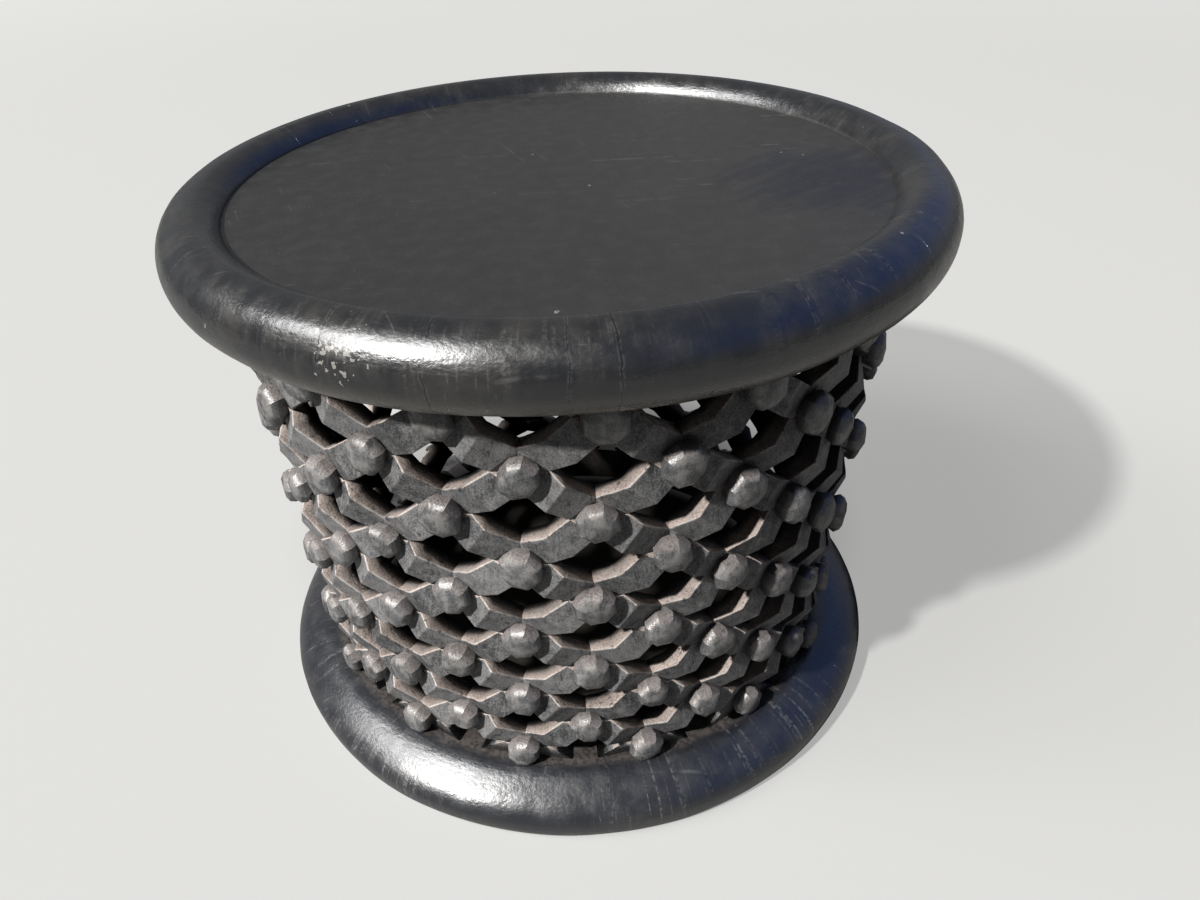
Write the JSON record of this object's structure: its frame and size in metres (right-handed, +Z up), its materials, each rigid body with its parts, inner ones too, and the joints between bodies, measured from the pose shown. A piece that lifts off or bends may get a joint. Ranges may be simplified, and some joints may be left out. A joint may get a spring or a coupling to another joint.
{
  "type": "tray coffee table",
  "caption": "Round dished tray table carved from one log, on an openwork drum of crossing bars and knobs over a ring base.",
  "frame": {"origin": "centre of the base ring on the floor", "axes": "+Z up along the axis of the drum, -Y towards the front of the picture, +X to its right"},
  "size_m": [0.5998, 0.5996, 0.458],
  "materials": {
    "ebonised_wood": "dyed black and waxed, satin on the tray and base",
    "carved_wood": "dyed black, dry and dusty, rubbed paler on the edges"
  },
  "bodies": {
    "root": {"tray_floor": "ebonised_wood", "tray_rim": "ebonised_wood", "drum_crown": "carved_wood", "tier_01_right_bars": "carved_wood", "tier_01_left_bars": "carved_wood", "tier_02_right_bars": "carved_wood", "tier_02_left_bars": "carved_wood", "tier_03_right_bars": "carved_wood", "tier_03_left_bars": "carved_wood", "tier_04_right_bars": "carved_wood", "tier_04_left_bars": "carved_wood", "tier_05_right_bars": "carved_wood", "tier_05_left_bars": "carved_wood", "tier_06_right_bars": "carved_wood", "tier_06_left_bars": "carved_wood", "tier_07_right_bars": "carved_wood", "tier_07_left_bars": "carved_wood", "tier_08_right_bars": "carved_wood", "tier_08_left_bars": "carved_wood", "tier_09_right_bars": "carved_wood", "tier_09_left_bars": "carved_wood", "knobs_row_01": "carved_wood", "knobs_row_02": "carved_wood", "knobs_row_03": "carved_wood", "knobs_row_04": "carved_wood", "knobs_row_05": "carved_wood", "knobs_row_06": "carved_wood", "knobs_row_07": "carved_wood", "knobs_row_08": "carved_wood", "knobs_row_09": "carved_wood", "knobs_row_10": "carved_wood", "drum_foot": "carved_wood", "base_ring": "ebonised_wood"}
  },
  "joints": []
}
